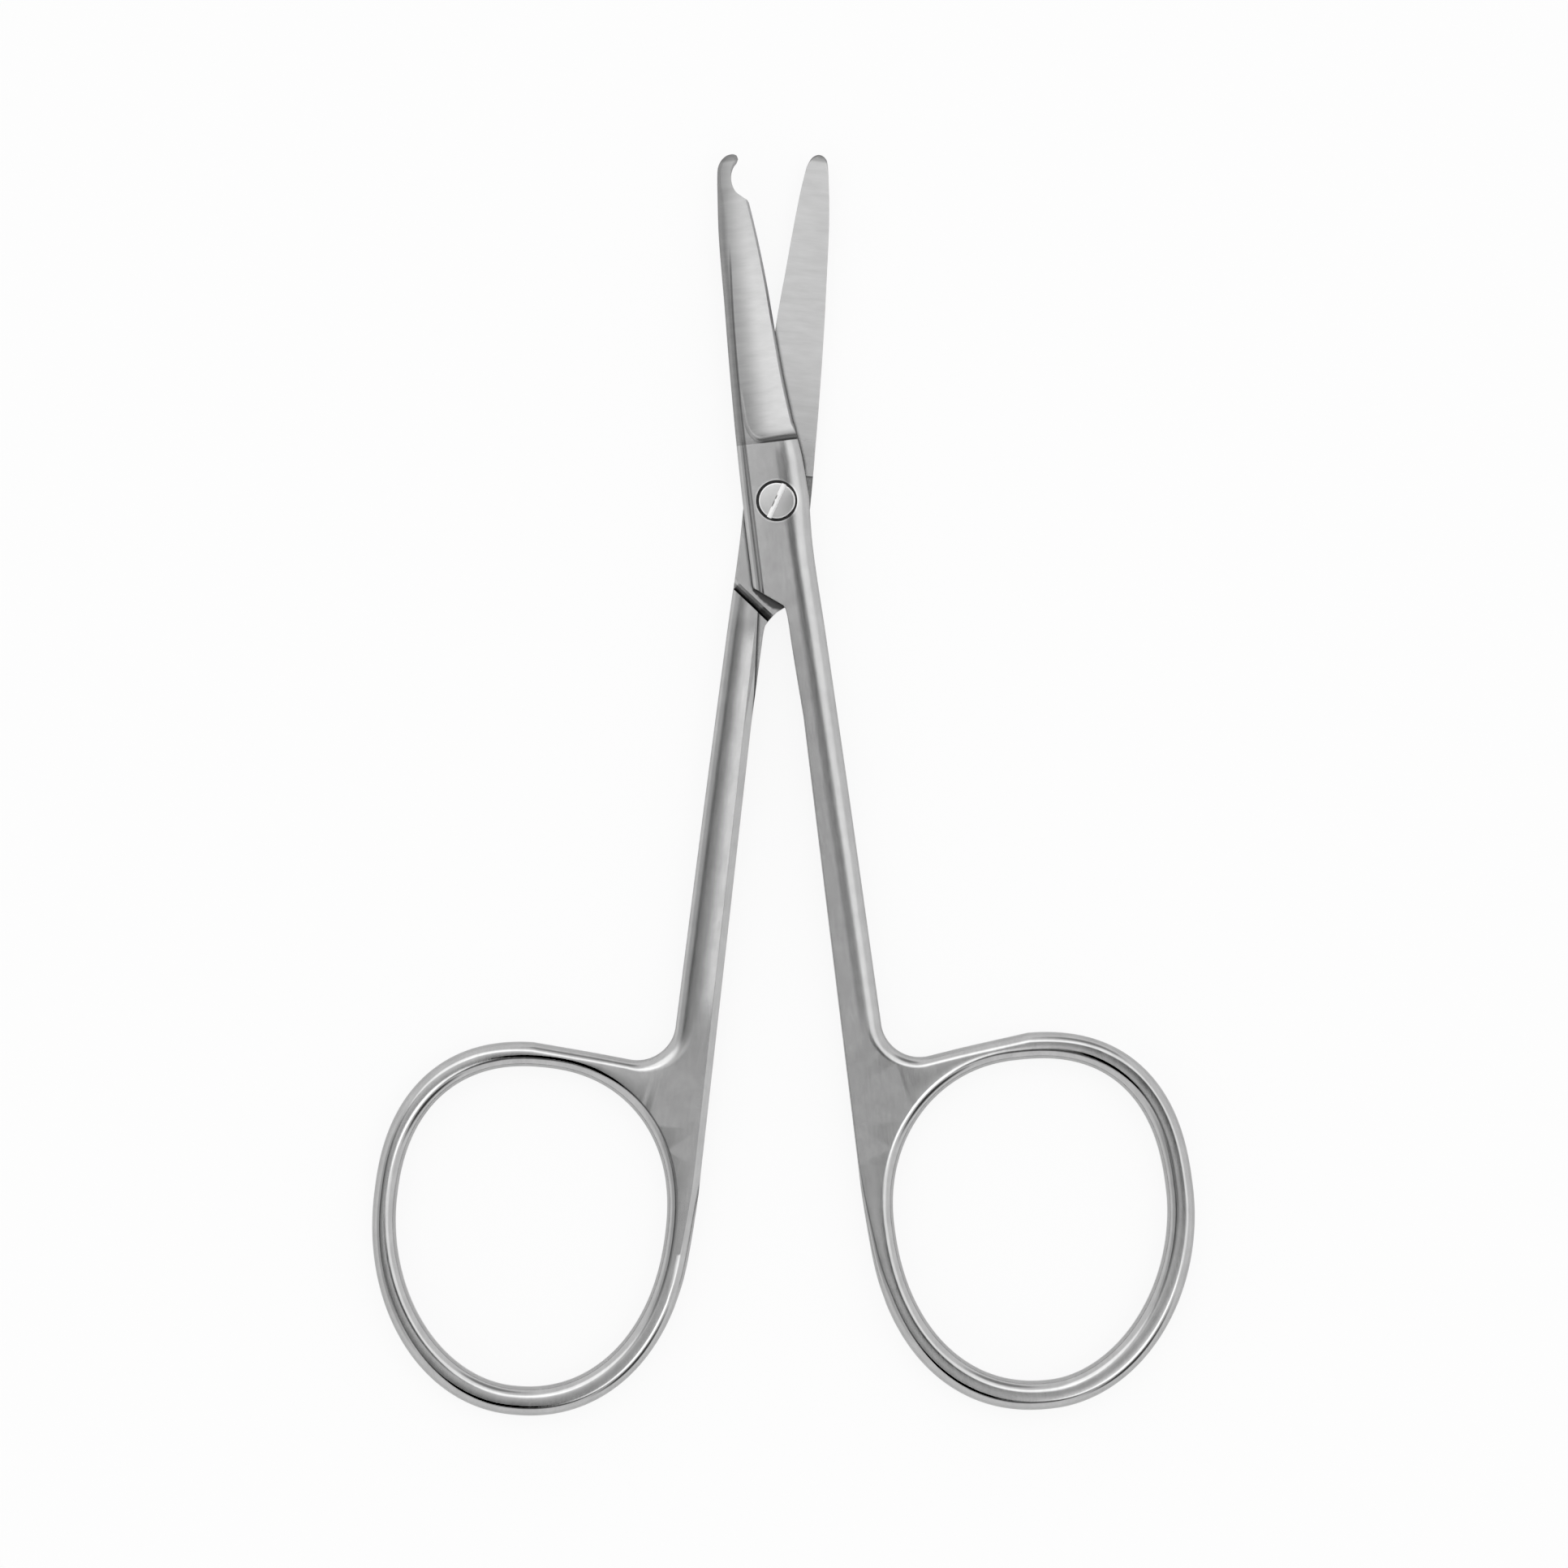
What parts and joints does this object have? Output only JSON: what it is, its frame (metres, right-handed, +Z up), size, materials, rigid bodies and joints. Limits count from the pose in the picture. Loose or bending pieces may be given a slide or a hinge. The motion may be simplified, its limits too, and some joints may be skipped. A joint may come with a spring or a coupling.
{
  "type": "stitch scissors",
  "caption": "Small surgical stitch scissors with a hooked blade and a blunt plain blade, a lapped screw joint, slim shanks and oval finger rings.",
  "frame": {"origin": "on the screw's axis, at its flush end, in the plane of the rear half's outer face that the joint rests on", "axes": "+Y towards the blade tips along the line between the two blades, +X to the hooked half's finger ring, +Z up out of the screw's slotted head"},
  "size_m": [0.0575, 0.0882, 0.0033],
  "materials": {
    "satin_steel": "satin, finely brushed stainless steel",
    "screw_steel": "turned and lightly polished stainless steel"
  },
  "bodies": {
    "plain": {"plain_half": "satin_steel", "pivot_screw": "screw_steel"},
    "hook": {"hook_half": "satin_steel"}
  },
  "joints": [
    {"name": "pivot", "type": "hinge", "parent": "plain", "child": "hook", "pos_m": [0, 0, 0], "axis": [0, 0, 1], "range_deg": [-13.2, 127]}
  ]
}
